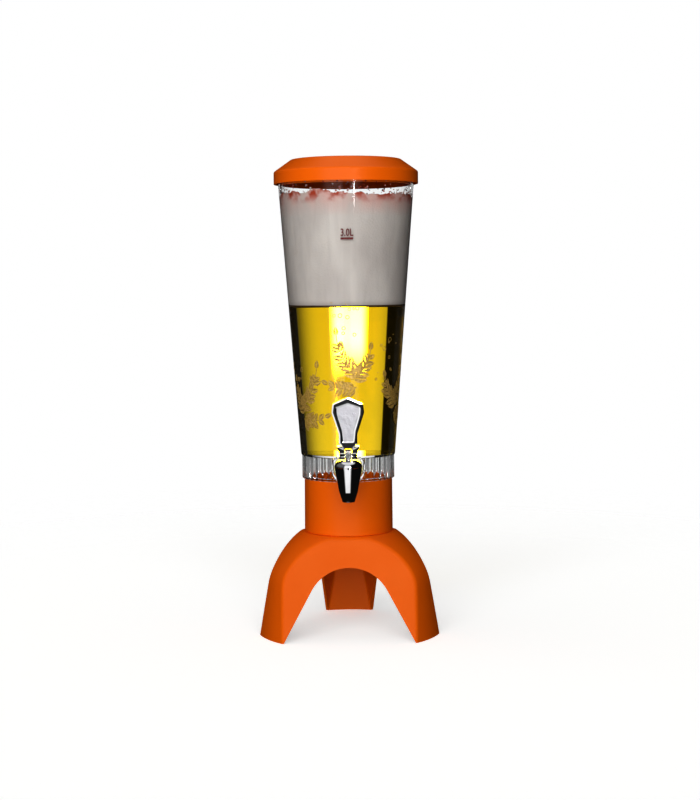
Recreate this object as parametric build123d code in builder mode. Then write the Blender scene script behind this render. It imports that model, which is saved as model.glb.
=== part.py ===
from build123d import *
import os
from math import acos, asin, atan, cos, degrees, radians, sin, sqrt, tan

# Beer tower dispenser. Millimetres, +Z up, tap towards -Y.
# The origin is on the tower's axis at the floor.

os.makedirs("parts", exist_ok=True)

# Overall sizes
foot_radius = 107.6  # reach of the legs at the floor
base_height = 117.0  # floor to deck
neck_radius = 51.1  # outside of the neck at its top rim
neck_height = 62.4
ring_height = 26.6
vessel_height = 323.0
taper = 0.0765  # growth of the vessel's radius per mm of height

# Tripod base
wall = 3.0
leg_lean = 0.133  # how much a leg narrows per mm of height
crown_low = 29.0  # height of the centre of the shoulder's large arc
crown_inset = 1.0  # of that arc's widest reach, inside the foot's
shoulder_blend = 50.0
deck_land = 3.0  # flat of the deck outside the neck
side_land = 2.6  # the same where a side plane cuts it
side_lean = 0.197  # how much a side plane leans in per mm of height
side_azimuths = (-90, 30, 150)
corner_round = 7.0
arch_share = 0.638  # arch radius over a side plane's distance
arch_low = 0.29  # height of its centre over the base's height
arch_margin = 0.9  # from the arch's foot to the leg's corner
deck_inset = 15.1  # from the neck's outside to the deck's opening

# Neck collar
neck_draft = 0.3
neck_wall = 2.5
seam_chamfer = 0.7
screw_inset = 8.1  # from the neck's outside to the screws' circle
screw_count = 3
screw_radius = 1.9
screw_head_radius = 3.8
screw_head_height = 2.6
screw_head_round = 1.0
screw_bite = 12.0
screw_end_gap = 1.0  # below the end of its pilot hole
drive_length = 4.4
drive_width = 0.9
drive_depth = 1.4
boss_radius = 4.6

# Grip ring under the vessel
ring_overhang = 2.6  # of the flutes' crests over the neck
flute_count = 40
flute_radius = 4.6
flute_depth = 1.0
ring_wall = 2.4
spigot_depth = 12.0

# Vessel
floor_overhang = 1.05  # of its foot over the flutes' crests
vessel_wall = 2.5
vessel_floor = 3.0
vessel_edge = 1.2
lip_share = 0.38  # of the lip's rounding in the wall
sump_radius = 18.7
sump_drop = 11.0  # axis of sump and tap below the floor's underside
sump_stand_out = 3.3  # of its front face over the grip ring
sump_length = 36.0

# Lid
lid_wall = 2.4
lid_over = 19.6  # height of its top over the vessel's rim
lid_overhang = 4.35  # of its rim over the vessel's
lid_rim_height = 14.0
lid_bevel_run = 20.0
lid_bevel_height = 14.2
lid_edge_round = 3.0
lid_plug_depth = 10.2
lid_stop_count = 6
lid_stop_thick = 2.0
lid_stop_gap = 1.0  # from a stop's end to the rim's outside

# Tap, from the boss outwards
shank_radius = 7.9
shank_end = 15.0  # inside the boss's front face
shank_lead = 0.8
inlet_radius = 4.0
tap_neck_radius = 6.0
flange_over = 4.1  # of the flange over the shank
flange_thick = 3.0
washer_over = 4.6
washer_thick = 2.0
nut_over = 4.1
nut_thick = 6.0
barrel_reach = 33.0  # boss face to the barrel's axis

# Tap barrel: heights from the inlet's axis
barrel_top = 6.0
barrel_top_radius = 15.3
barrel_mid_z = -7.0
barrel_mid_radius = 13.2
spout_cut_z = -21.5
spout_cut_radius = 10.5
spout_blend = 3.0
spout_tip_z = -32.8
spout_tip_radius = 7.2
tip_round = 1.0
seat_z = -11.0
outlet_radius = 5.0
cavity_radius = 10.5
collar_radius = 12.4  # threaded collar inside the bonnet
collar_top = 9.2
bonnet_radius = 15.6
bonnet_top = 14.2
bonnet_flat_radius = 9.5
bonnet_land = 1.0
bonnet_edge = 0.3
dome_inset = 2.2  # of the dome's middle inside its foot
dome_rise = 5.6
gasket_thick = 1.0

# Valve
valve_lift = 4.0
stem_radius = 2.92
cup_radius = 8.6
cup_wall = 1.6
cup_floor = 4.0
cup_height = 14.5
cup_lip = 10.2
lip_height = 1.5
lip_thick = 0.4
cup_bevel = 1.0
socket_radius = 2.0
socket_depth = 2.0
stem_foot_gap = 0.6  # round its foot in the cup
stem_foot_thick = 1.5
stem_head_low = 0.8  # over the bonnet when shut
stem_head_over = 5.5  # over the pin
spring_radius = 5.2
spring_wire = 1.0
spring_turns = 5.5
spring_washer_thick = 0.8
spring_washer_over = 2.0  # over the spring's middle line
pin_z = 20.5
pin_radius = 1.5
pin_length = 17.0
pin_chamfer = 0.3
stem_head_width = 6.8
stem_head_depth = 8.0
crown_share = 0.42  # of its top's rounding in its depth

# Lever: heights from its pin
cam_radius = 10.0
fork_width = 19.8
fork_tip_width = 25.2
fork_top = 9.4
fork_bulge = 0.5
fork_bulge_height = 9.0
fork_round = 0.4
slot_gap = 0.4
slot_top = 7.5
shield_thick = 5.0
shield_front = 5.5  # of its face before the pin
bridge_width = 16.0
bridge_depth = 6.0
bridge_height = 9.0
apron_drop = 4.0
apron_rise = 2.6
apron_step = 0.6
apron_half_low = 5.1
apron_half_high = 9.0
shield_half_narrow = 10.2
shield_narrow_z = 23.0
shield_half_wide = 18.1
shield_wide_z = 47.0
shield_half_corner = 16.9
shield_corner_z = 56.7
shield_apex_z = 63.9
panel_half_foot = 5.5
panel_foot_z = 14.8
panel_half_narrow = 6.8
panel_narrow_z = 26.8
panel_half_wide = 12.2
panel_wide_z = 44.8
panel_half_corner = 12.6
panel_corner_z = 51.8
panel_apex_z = 56.2
panel_depth = 1.6
slope_width = 1.5  # of the low slopes on both sides of its rim
slope_depth = 0.4
plate_thick = 0.8
horn_drop = 4.5  # of the fork's front, from its tips to its slot
horn_tip = 0.8
horn_step = 0.8  # of the foot behind it, from the shield's face

# Fits
press_gap = 0.05  # pieces that are fixed to each other
run_gap = 0.07  # shafts that turn or slide
free_gap = 0.3  # pieces that pass each other

# Places and radii that follow
deck_opening = neck_radius - deck_inset
screw_circle = neck_radius - screw_inset
ring_radius = neck_radius + ring_overhang
floor_radius = ring_radius + floor_overhang
rim_radius = floor_radius + taper * vessel_height
lid_rim_radius = rim_radius + lid_overhang
lid_top_radius = lid_rim_radius - lid_bevel_run
flange_radius = shank_radius + flange_over
washer_radius = shank_radius + washer_over
nut_across_flats = 2 * (shank_radius + nut_over)
neck_top = base_height + neck_height
floor_z = neck_top + ring_height
rim_z = floor_z + vessel_height
lid_top_z = rim_z + lid_over
tap_z = floor_z - sump_drop
boss_face = -(ring_radius + sump_stand_out)
boss_wall_inside = boss_face + vessel_floor
barrel_y = boss_face - barrel_reach
flange_back = boss_face - washer_thick
pin_height = tap_z + pin_z
bonnet_ceiling = tap_z + collar_top + gasket_thick


def polar(radius, azimuth, z):
    return (radius * cos(radians(azimuth)), radius * sin(radians(azimuth)), z)


def save(piece, name):
    piece.part.label = name
    export_step(piece.part, f"parts/{name}.step")


def ring(outer, inner, low, high, middle=(0, 0)):
    """A plain upright ring between two heights."""
    with BuildPart() as made:
        with BuildSketch(Plane.XY.offset(low)):
            with Locations(middle):
                Circle(outer)
                Circle(inner, mode=Mode.SUBTRACT)
        extrude(amount=high - low)
    return made.part


def ring_along_y(outer, inner, front, back, height):
    """A ring round the tap's inlet axis, from its front face back into the vessel."""
    with BuildPart() as made:
        with BuildSketch(Plane((0, front, height), x_dir=(1, 0, 0), z_dir=(0, 1, 0))):
            Circle(outer)
            if inner > 0:
                Circle(inner, mode=Mode.SUBTRACT)
        extrude(amount=back - front)
    return made.part


# The shoulder's large arc runs from the legs' widest reach to the deck's edge
crown_reach = foot_radius - crown_inset
crown_land = neck_radius + deck_land
crown_drop = base_height - crown_low
crown_centre_r = (crown_reach**2 - crown_land**2 - crown_drop**2) / (
    2 * (crown_reach - crown_land)
)
crown_arc = crown_reach - crown_centre_r
side_distance = neck_radius + side_land + side_lean * base_height


def tripod_form(inset):
    """The base as a full body: a turned shoulder cut by three leaning planes."""
    foot = foot_radius - inset
    top = base_height - inset
    crown = crown_arc - inset
    blend = shoulder_blend - inset
    lean = degrees(atan(leg_lean))
    depth = (foot - crown_centre_r - leg_lean * crown_low) * cos(radians(lean))
    meet = lean + degrees(acos((depth - blend) / (crown - blend)))
    blend_r = crown_centre_r + (crown - blend) * cos(radians(meet))
    blend_z = crown_low + (crown - blend) * sin(radians(meet))
    land = degrees(asin((top - crown_low) / crown))
    with BuildPart() as form:
        with BuildSketch(Plane.XZ):
            with BuildLine():
                blend_line = CenterArc((blend_r, blend_z), blend, lean, meet - lean)
                crown_line = CenterArc(
                    (crown_centre_r, crown_low), crown, meet, land - meet
                )
                Polyline(crown_line @ 1, (0, top), (0, 0), (foot, 0), blend_line @ 0)
            make_face()
        revolve(axis=Axis.Z)
        tilt = sqrt(1 + side_lean**2)
        for azimuth in side_azimuths:
            normal = polar(1, azimuth, side_lean)
            start = polar(side_distance - inset * tilt, azimuth, 0)
            split(bisect_by=Plane(start, z_dir=normal), keep=Keep.BOTTOM)
        flats = [
            f
            for f in form.faces().filter_by(GeomType.PLANE)
            if 0.1 < f.normal_at().Z < 0.9
        ]
        edges = ShapeList(
            e for f in flats for e in f.edges() if e.center().Z > 1 and e.length > 1
        )
        fillet(edges, corner_round - inset)
    return form.part


tripod_outside = tripod_form(0)
tripod_inside = tripod_form(wall)

# Each arch is round on top, with straight sides that run to the legs' corners
arch_radius = arch_share * side_distance
arch_centre = arch_low * base_height
arch_foot = sqrt(foot_radius**2 - side_distance**2) - arch_margin
arch_turn = acos(arch_radius / sqrt(arch_foot**2 + arch_centre**2))
flare = arch_turn - atan(arch_centre / arch_foot)
tangent_x = arch_radius * cos(flare)
tangent_z = arch_centre + arch_radius * sin(flare)
below = 10.0
flare_x = tangent_x + (tangent_z + below) * tan(flare)

# Legs, shoulder and deck in one shell, open below
with BuildPart() as tripod_base:
    add(tripod_outside)
    add(tripod_inside, mode=Mode.SUBTRACT)
    for azimuth in side_azimuths:
        out = polar(1, azimuth, 0)
        across = (-out[1], out[0], 0)
        with BuildSketch(Plane((0, 0, 0), x_dir=across, z_dir=out)):
            with BuildLine():
                ThreePointArc(
                    (-tangent_x, tangent_z),
                    (0, arch_centre + arch_radius),
                    (tangent_x, tangent_z),
                )
                Polyline(
                    (tangent_x, tangent_z),
                    (flare_x, -below),
                    (-flare_x, -below),
                    (-tangent_x, tangent_z),
                )
            make_face()
        extrude(amount=2 * foot_radius, mode=Mode.SUBTRACT)
    with BuildSketch(Plane.XY.offset(base_height)):
        Circle(deck_opening)
        with PolarLocations(screw_circle, screw_count, start_angle=30):
            Circle(screw_radius + free_gap)
    extrude(amount=-2 * wall, mode=Mode.SUBTRACT)
save(tripod_base, "tripod_base")

# Neck: a drafted tube with a screwed flange at its foot
collar_foot_radius = neck_radius + neck_draft
boss_top = base_height + wall + screw_bite
boss_clearance = ring_along_y(
    sump_radius + free_gap, 0, -2 * neck_radius, 0, tap_z
)
with BuildPart() as neck_collar:
    with BuildSketch(Plane.XZ):
        Polygon(
            (deck_opening, base_height),
            (collar_foot_radius, base_height),
            (neck_radius, neck_top),
            (neck_radius - neck_wall, neck_top),
            (collar_foot_radius - neck_wall, base_height + wall),
            (deck_opening, base_height + wall),
            align=None,
        )
    revolve(axis=Axis.Z)
    with BuildSketch(Plane.XY.offset(base_height)):
        with PolarLocations(screw_circle, screw_count, start_angle=30):
            Circle(boss_radius)
    extrude(amount=boss_top - base_height)
    with BuildSketch(Plane.XY.offset(base_height)):
        with PolarLocations(screw_circle, screw_count, start_angle=30):
            Circle(screw_radius + press_gap)
    extrude(amount=wall + screw_bite - neck_wall, mode=Mode.SUBTRACT)
    add(boss_clearance, mode=Mode.SUBTRACT)
    seam = neck_collar.edges().filter_by_position(Axis.Z, base_height, base_height)
    chamfer(seam.sort_by(SortBy.LENGTH)[-1], seam_chamfer)
save(neck_collar, "neck_collar")

# Three pan-head screws, driven up through the deck
head_seat = base_height - wall
shank_reach = 2 * wall + screw_bite - neck_wall - screw_end_gap
with BuildPart() as neck_screws:
    with BuildSketch(Plane.XY.offset(head_seat)):
        with PolarLocations(screw_circle, screw_count, start_angle=30):
            Circle(screw_radius)
    extrude(amount=shank_reach)
    with BuildSketch(Plane.XY.offset(head_seat)):
        with PolarLocations(screw_circle, screw_count, start_angle=30):
            Circle(screw_head_radius)
    extrude(amount=-screw_head_height)
    under = head_seat - screw_head_height
    rims = neck_screws.edges().filter_by_position(Axis.Z, under, under)
    fillet(rims, screw_head_round)
    with BuildSketch(Plane.XY.offset(under)):
        with PolarLocations(screw_circle, screw_count, start_angle=30):
            Rectangle(drive_length, drive_width)
            Rectangle(drive_width, drive_length)
    extrude(amount=drive_depth, mode=Mode.SUBTRACT)
save(neck_screws, "neck_screws")

# Clear grip ring: flutes outside, a plain spigot that stands in the collar
spigot_radius = neck_radius - neck_wall - free_gap
spigot_bottom = neck_top - spigot_depth
ring_root = ring_radius - flute_depth
ring_bore = ring_root - ring_wall
with BuildPart() as grip_ring:
    with BuildSketch(Plane.XY.offset(neck_top)):
        Circle(ring_root)
        with PolarLocations(ring_radius - flute_radius, flute_count):
            Circle(flute_radius)
        Circle(ring_bore, mode=Mode.SUBTRACT)
    extrude(amount=ring_height)
    with BuildSketch(Plane.XZ):
        Polygon(
            (spigot_radius - ring_wall, spigot_bottom),
            (spigot_radius, spigot_bottom),
            (spigot_radius, neck_top),
            (ring_bore, neck_top),
            (ring_bore, neck_top + ring_wall),
            (spigot_radius - ring_wall, neck_top + ring_wall),
            align=None,
        )
    revolve(axis=Axis.Z)
    add(boss_clearance, mode=Mode.SUBTRACT)
save(grip_ring, "grip_ring")


def vessel_form(inset, low, high):
    """The tapered body of the vessel between two heights."""
    low_radius = floor_radius + taper * (low - floor_z) - inset
    high_radius = floor_radius + taper * (high - floor_z) - inset
    with BuildPart() as form:
        with BuildSketch(Plane.XZ):
            Polygon(
                (0, low), (low_radius, low), (high_radius, high), (0, high), align=None
            )
        revolve(axis=Axis.Z)
    return form.part


# Clear tapered vessel with the sump and its flat tap boss in one moulding
sump_inner = sump_radius - vessel_wall
sump_back = boss_face + sump_length
with BuildPart() as canister:
    add(vessel_form(0, floor_z, rim_z))
    foot_edge = canister.edges().filter_by_position(Axis.Z, floor_z, floor_z)
    fillet(foot_edge, vessel_edge)
    add(ring_along_y(sump_radius, 0, boss_face, sump_back, tap_z))
    add(
        vessel_form(vessel_wall, floor_z + vessel_floor, rim_z + wall),
        mode=Mode.SUBTRACT,
    )
    add(
        ring_along_y(
            sump_inner, 0, boss_wall_inside, sump_back - vessel_wall, tap_z
        ),
        mode=Mode.SUBTRACT,
    )
    add(
        ring_along_y(
            shank_radius + free_gap, 0, boss_face - wall, boss_wall_inside + wall, tap_z
        ),
        mode=Mode.SUBTRACT,
    )
    lip = canister.edges().filter_by_position(Axis.Z, rim_z, rim_z)
    fillet(lip, lip_share * vessel_wall)
save(canister, "canister")

# Lid: a hollow bevelled cap whose plug skirt drops inside the vessel
lid_low = lid_top_z - lid_bevel_height - lid_rim_height
bevel_low = lid_top_z - lid_bevel_height
bevel_run = lid_rim_radius - lid_top_radius
bevel_slope = lid_bevel_height / bevel_run
slant = sqrt(1 + bevel_slope**2)
plug_bottom = rim_z - lid_plug_depth
vessel_inner_at_plug = floor_radius + taper * (plug_bottom - floor_z) - vessel_wall
plug_radius = vessel_inner_at_plug - free_gap
plug_top = lid_top_z - (plug_radius - lid_top_radius) * bevel_slope - wall / 2


def lid_form(inset, low):
    top = lid_top_z - inset
    shoulder = lid_top_radius + (inset - inset * slant) / bevel_slope
    side = lid_rim_radius - inset
    side_top = top - (side - shoulder) * bevel_slope
    with BuildPart() as form:
        with BuildSketch(Plane.XZ):
            Polygon(
                (0, low), (side, low), (side, side_top), (shoulder, top), (0, top),
                align=None,
            )
        revolve(axis=Axis.Z)
        rims = form.edges().filter_by_position(Axis.Z, side_top - 0.1, top)
        fillet(rims, lid_edge_round)
    return form.part


lid_outside = lid_form(0, lid_low)
lid_inside = lid_form(lid_wall, lid_low)
stop_length = lid_rim_radius - plug_radius - lid_stop_gap
with BuildPart() as lid:
    add(lid_outside)
    add(lid_inside, mode=Mode.SUBTRACT)
    add(ring(plug_radius, plug_radius - lid_wall, plug_bottom, plug_top))
    with BuildSketch(Plane.XY.offset(rim_z)):
        middle = plug_radius + (stop_length - lid_stop_gap) / 2
        with PolarLocations(middle, lid_stop_count):
            Rectangle(stop_length, lid_stop_thick)
    extrude(amount=lid_top_z - rim_z)
    with BuildSketch(Plane.XZ):
        Polygon(
            (lid_top_radius, lid_top_z),
            (lid_rim_radius + wall, bevel_low - wall * bevel_slope),
            (lid_rim_radius + wall, lid_top_z + wall),
            (0, lid_top_z + wall),
            (0, lid_top_z),
            align=None,
        )
    revolve(axis=Axis.Z, mode=Mode.SUBTRACT)
save(lid, "lid")

# Chrome tap: barrel and spout, neck, flange and threaded shank in one casting
flange_front = flange_back - flange_thick
inner_washer_back = boss_wall_inside + washer_thick
shank_back = boss_face + shank_end
seat_height = tap_z + seat_z
collar_height = tap_z + collar_top
tip_height = tap_z + spout_tip_z
with BuildPart() as tap_body:
    with BuildSketch(Plane.XZ.offset(-barrel_y)):
        with BuildLine():
            Line((0, tip_height), (spout_tip_radius - tip_round, tip_height))
            ThreePointArc(
                (spout_tip_radius - tip_round, tip_height),
                (spout_tip_radius - 0.3 * tip_round, tip_height + 0.3 * tip_round),
                (spout_tip_radius, tip_height + tip_round),
            )
            Line(
                (spout_tip_radius, tip_height + tip_round),
                (spout_cut_radius, tap_z + spout_cut_z),
            )
            ThreePointArc(
                (spout_cut_radius, tap_z + spout_cut_z),
                (barrel_mid_radius, tap_z + barrel_mid_z),
                (barrel_top_radius, tap_z + barrel_top - bonnet_land),
            )
            Polyline(
                (barrel_top_radius, tap_z + barrel_top - bonnet_land),
                (barrel_top_radius, tap_z + barrel_top),
                (collar_radius, tap_z + barrel_top),
                (collar_radius, collar_height),
                (0, collar_height),
                (0, tip_height),
            )
        make_face()
    revolve(axis=Axis((0, barrel_y, 0), (0, 0, 1)))
    neck_cut = tap_body.edges().filter_by_position(
        Axis.Z, tap_z + spout_cut_z, tap_z + spout_cut_z
    )
    fillet(neck_cut, spout_blend)
    add(ring_along_y(tap_neck_radius, 0, barrel_y, flange_back, tap_z))
    add(ring_along_y(flange_radius, 0, flange_front, flange_back, tap_z))
    add(ring_along_y(shank_radius, 0, flange_back, shank_back, tap_z))
    shank_end_edges = tap_body.edges().filter_by_position(
        Axis.Y, shank_back, shank_back
    )
    chamfer(shank_end_edges, shank_lead)
    with BuildSketch(Plane.XY.offset(collar_height)):
        with Locations((0, barrel_y)):
            Circle(cavity_radius)
    extrude(amount=seat_height - collar_height, mode=Mode.SUBTRACT)
    with BuildSketch(Plane.XY.offset(seat_height)):
        with Locations((0, barrel_y)):
            Circle(outlet_radius)
    extrude(amount=tip_height - seat_height, mode=Mode.SUBTRACT)
    add(
        ring_along_y(inlet_radius, 0, barrel_y, shank_back, tap_z),
        mode=Mode.SUBTRACT,
    )
save(tap_body, "tap_body")

# Soft washers and the nut that clamp the shank in the boss
with BuildPart() as outer_washer:
    add(ring_along_y(washer_radius, shank_radius + press_gap, flange_back, boss_face, tap_z))
save(outer_washer, "outer_washer")

with BuildPart() as inner_washer:
    add(
        ring_along_y(
            washer_radius,
            shank_radius + press_gap,
            boss_wall_inside,
            inner_washer_back,
            tap_z,
        )
    )
save(inner_washer, "inner_washer")

with BuildPart() as lock_nut:
    nut_plane = Plane((0, inner_washer_back, tap_z), x_dir=(1, 0, 0), z_dir=(0, 1, 0))
    with BuildSketch(nut_plane):
        RegularPolygon(nut_across_flats / 2, 6, major_radius=False)
        Circle(shank_radius + press_gap, mode=Mode.SUBTRACT)
    extrude(amount=nut_thick)
save(lock_nut, "lock_nut")

# Bonnet: a low dome screwed over the barrel's threaded collar
bonnet_low = tap_z + barrel_top
bonnet_high = tap_z + bonnet_top
with BuildPart() as bonnet:
    with BuildSketch(Plane.XZ.offset(-barrel_y)):
        with BuildLine():
            Polyline(
                (bonnet_radius - bonnet_edge, bonnet_low),
                (bonnet_radius, bonnet_low + bonnet_edge),
                (bonnet_radius, bonnet_low + bonnet_land),
            )
            ThreePointArc(
                (bonnet_radius, bonnet_low + bonnet_land),
                (bonnet_radius - dome_inset, bonnet_low + dome_rise),
                (bonnet_flat_radius, bonnet_high),
            )
            Polyline(
                (bonnet_flat_radius, bonnet_high),
                (stem_radius + run_gap, bonnet_high),
                (stem_radius + run_gap, bonnet_ceiling),
                (collar_radius + run_gap, bonnet_ceiling),
                (collar_radius + run_gap, bonnet_low),
                (bonnet_radius - bonnet_edge, bonnet_low),
            )
        make_face()
    revolve(axis=Axis((0, barrel_y, 0), (0, 0, 1)))
save(bonnet, "bonnet")

with BuildPart() as bonnet_ring:
    add(
        ring(
            collar_radius,
            cavity_radius,
            collar_height,
            bonnet_ceiling,
            middle=(0, barrel_y),
        )
    )
save(bonnet_ring, "bonnet_ring")

# Valve: a soft cup pressed on the seat by a spring under the bonnet
cup_bottom = seat_height + free_gap
cup_inside = cup_bottom + cup_floor
cup_top = cup_bottom + cup_height
with BuildPart() as seat_cup:
    with BuildSketch(Plane.XZ.offset(-barrel_y)):
        Polygon(
            (0, cup_bottom),
            (cup_radius - cup_bevel, cup_bottom),
            (cup_radius, cup_bottom + cup_bevel),
            (cup_radius, cup_top - lip_height),
            (cup_lip, cup_top - lip_thick),
            (cup_lip, cup_top),
            (cup_radius - cup_wall, cup_top),
            (cup_radius - cup_wall, cup_inside),
            (socket_radius, cup_inside),
            (socket_radius, cup_inside - socket_depth),
            (0, cup_inside - socket_depth),
            align=None,
        )
    revolve(axis=Axis((0, barrel_y, 0), (0, 0, 1)))
save(seat_cup, "seat_cup")

stem_foot_radius = cup_radius - cup_wall - stem_foot_gap
stem_foot_top = cup_inside + stem_foot_thick
head_low = bonnet_high + stem_head_low
head_high = pin_height + stem_head_over
with BuildPart() as valve_stem:
    with BuildSketch(Plane.XZ.offset(-barrel_y)):
        Polygon(
            (0, cup_inside - socket_depth + press_gap),
            (socket_radius - press_gap, cup_inside - socket_depth + press_gap),
            (socket_radius - press_gap, cup_inside),
            (stem_foot_radius, cup_inside),
            (stem_foot_radius, stem_foot_top),
            (stem_radius, stem_foot_top),
            (stem_radius, pin_height),
            (0, pin_height),
            align=None,
        )
    revolve(axis=Axis((0, barrel_y, 0), (0, 0, 1)))
    with BuildSketch(Plane.XY.offset(head_low)):
        with Locations((0, barrel_y)):
            Rectangle(stem_head_width, stem_head_depth)
    extrude(amount=head_high - head_low)
    crown = valve_stem.edges().filter_by(Axis.X).filter_by_position(
        Axis.Z, head_high, head_high
    )
    fillet(crown, crown_share * stem_head_depth)
    with BuildSketch(Plane.YZ):
        with Locations((barrel_y, pin_height)):
            Circle(pin_radius + press_gap)
    extrude(amount=stem_head_width, both=True, mode=Mode.SUBTRACT)
save(valve_stem, "valve_stem")

washer_low = bonnet_ceiling - spring_washer_thick
with BuildPart() as spring_washer:
    add(
        ring(
            spring_radius + spring_washer_over,
            stem_radius + free_gap,
            washer_low,
            bonnet_ceiling,
            middle=(0, barrel_y),
        )
    )
save(spring_washer, "spring_washer")

spring_low = stem_foot_top + spring_wire / 2 + press_gap
spring_high = washer_low - spring_wire / 2 - press_gap
spring_rise = spring_high - spring_low
with BuildPart() as valve_spring:
    with BuildLine() as coil:
        Helix(
            pitch=spring_rise / spring_turns,
            height=spring_rise,
            radius=spring_radius,
            center=(0, barrel_y, spring_low),
        )
    with BuildSketch(coil.line ^ 0):
        Circle(spring_wire / 2)
    sweep(is_frenet=True)
save(valve_spring, "valve_spring")

with BuildPart() as lever_pin:
    with BuildSketch(Plane.YZ.offset(-pin_length / 2)):
        with Locations((barrel_y, pin_height)):
            Circle(pin_radius)
    extrude(amount=pin_length)
    chamfer(lever_pin.edges().filter_by(GeomType.CIRCLE), pin_chamfer)
save(lever_pin, "lever_pin")

# Lever: a forked cam foot that carries a shield. Its sizes are taken from the pin.
cam_height = pin_height + valve_lift
slot_half = stem_head_width / 2 + slot_gap
slot_roof = pin_height + slot_top
fork_low = cam_height - cam_radius
fork_high = pin_height + fork_top
shield_face = barrel_y - shield_front
shield_back = shield_face + shield_thick
foot_high = fork_high + apron_rise
horn_half = fork_tip_width / 2 - horn_tip
shield_half = [
    (apron_half_low, fork_high - apron_drop),
    (apron_half_high, foot_high - apron_step),
    (shield_half_narrow, foot_high),
    (shield_half_narrow, pin_height + shield_narrow_z),
    (shield_half_wide, pin_height + shield_wide_z),
    (shield_half_corner, pin_height + shield_corner_z),
]
panel_half = [
    (panel_half_foot, pin_height + panel_foot_z),
    (panel_half_narrow, pin_height + panel_narrow_z),
    (panel_half_wide, pin_height + panel_wide_z),
    (panel_half_corner, pin_height + panel_corner_z),
]
front_plane = Plane((0, shield_face, 0), x_dir=(1, 0, 0), z_dir=(0, -1, 0))


def draw_shield(sketch, half, apex, rounds):
    """Draw a shield from its right half; rounds gives each corner's radius."""
    left = [(-x, z) for x, z in half]
    Polygon(*left, (0, apex), *reversed(half), align=None)
    for (x, z), radius in zip(half, rounds):
        if radius > 0:
            for side in (-1, 1):
                near = sketch.vertices().sort_by_distance((side * x, z, 0))
                fillet(near[0], radius)


apex_z = pin_height + shield_apex_z
panel_apex = pin_height + panel_apex_z
shield_rounds = (0, 0, 0, 12, 4, 3)
panel_rounds = (0.6, 6, 5, 1)

# The shield by itself, with its outer slope
with BuildPart() as shield:
    with BuildSketch(front_plane) as outline:
        draw_shield(outline, shield_half, apex_z, shield_rounds)
    extrude(amount=-shield_thick)
    face = shield.faces().sort_by(Axis.Y)[0]
    chamfer(face.edges(), slope_width, slope_depth, reference=face)

# The space cut out of it for the plate, with sloping sides at the front
with BuildPart() as recess:
    with BuildSketch(front_plane.offset(slope_depth)) as outline:
        draw_shield(outline, panel_half, panel_apex, panel_rounds)
        offset(amount=slope_width)
    extrude(amount=-2 * slope_depth)
    face = recess.faces().sort_by(Axis.Y)[-1]
    chamfer(face.edges(), slope_width, slope_depth, reference=face)
    with BuildSketch(front_plane) as outline:
        draw_shield(outline, panel_half, panel_apex, panel_rounds)
    extrude(amount=-panel_depth)

with BuildPart() as lever:
    with BuildSketch(Plane.YZ.offset(-fork_tip_width)):
        with Locations((barrel_y, cam_height)):
            Circle(cam_radius)
        with Locations((barrel_y - cam_radius / 2, cam_height + cam_radius / 2)):
            Rectangle(cam_radius, cam_radius)
        with Locations((barrel_y, fork_high + cam_radius)):
            Rectangle(3 * cam_radius, 2 * cam_radius, mode=Mode.SUBTRACT)
    extrude(amount=2 * fork_tip_width)
    with BuildSketch(Plane.XZ.offset(2 * cam_radius - barrel_y)):
        with BuildLine():
            right = ThreePointArc(
                (fork_width / 2, fork_low - 1),
                (fork_width / 2 + fork_bulge, fork_low + fork_bulge_height),
                (fork_tip_width / 2, fork_high),
            )
            left = ThreePointArc(
                (-fork_tip_width / 2, fork_high),
                (-fork_width / 2 - fork_bulge, fork_low + fork_bulge_height),
                (-fork_width / 2, fork_low - 1),
            )
            Line(right @ 1, left @ 0)
            Line(left @ 1, right @ 0)
        make_face()
    extrude(amount=-4 * cam_radius, mode=Mode.INTERSECT)
    fillet(lever.edges().filter_by(Axis.Y), fork_round)
    with BuildSketch(Plane.XZ.offset(-shield_face - horn_step)):
        Polygon(
            (-horn_half, fork_high + horn_drop),
            (-horn_half, fork_high),
            (-slot_half, fork_high - horn_drop),
            (slot_half, fork_high - horn_drop),
            (horn_half, fork_high),
            (horn_half, fork_high + horn_drop),
            align=None,
        )
    extrude(amount=cam_radius, mode=Mode.SUBTRACT)
    with BuildSketch(Plane.YZ.offset(-bridge_width / 2)):
        Polygon(
            (shield_back, fork_high - 1),
            (shield_back + bridge_depth, fork_high - 1),
            (shield_back + bridge_depth, fork_high),
            (shield_back, fork_high + bridge_height),
            (shield_face + horn_step, fork_high + bridge_height),
            (shield_face + horn_step, fork_high - 1),
            align=None,
        )
    extrude(amount=bridge_width)
    add(shield.part)
    add(recess.part, mode=Mode.SUBTRACT)
    with BuildSketch(Plane.XY.offset(slot_roof)):
        with Locations((0, barrel_y)):
            Rectangle(2 * slot_half, 3 * cam_radius)
    extrude(amount=-2 * cam_radius, mode=Mode.SUBTRACT)
    with BuildSketch(Plane.YZ.offset(-fork_tip_width)):
        with Locations((barrel_y, pin_height)):
            Circle(pin_radius + run_gap)
    extrude(amount=2 * fork_tip_width, mode=Mode.SUBTRACT)
save(lever, "lever")

# Blank satin plate in the shield's recess
with BuildPart() as lever_plate:
    with BuildSketch(front_plane.offset(-panel_depth)) as outline:
        draw_shield(outline, panel_half, panel_apex, panel_rounds)
    extrude(amount=plate_thick)
save(lever_plate, "lever_plate")
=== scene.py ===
# %% [markdown]
# # A beer tower in a small studio
# The tower stands on three moulded legs. A clear tapered vessel holds lager and foam, a bevelled lid
# closes it, and a chrome tap with a shield lever lets the beer out.
# The hard parts come from a imported CAD model, in metres, and keep their shapes: this file gives them
# their finishes and adds what CAD leaves out, which is the drink, the print and the studio.

import random
from math import atan2, cos, pi, radians, sin, sqrt

import bmesh
import bpy
from mathutils import Euler, Matrix, Vector, noise


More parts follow.
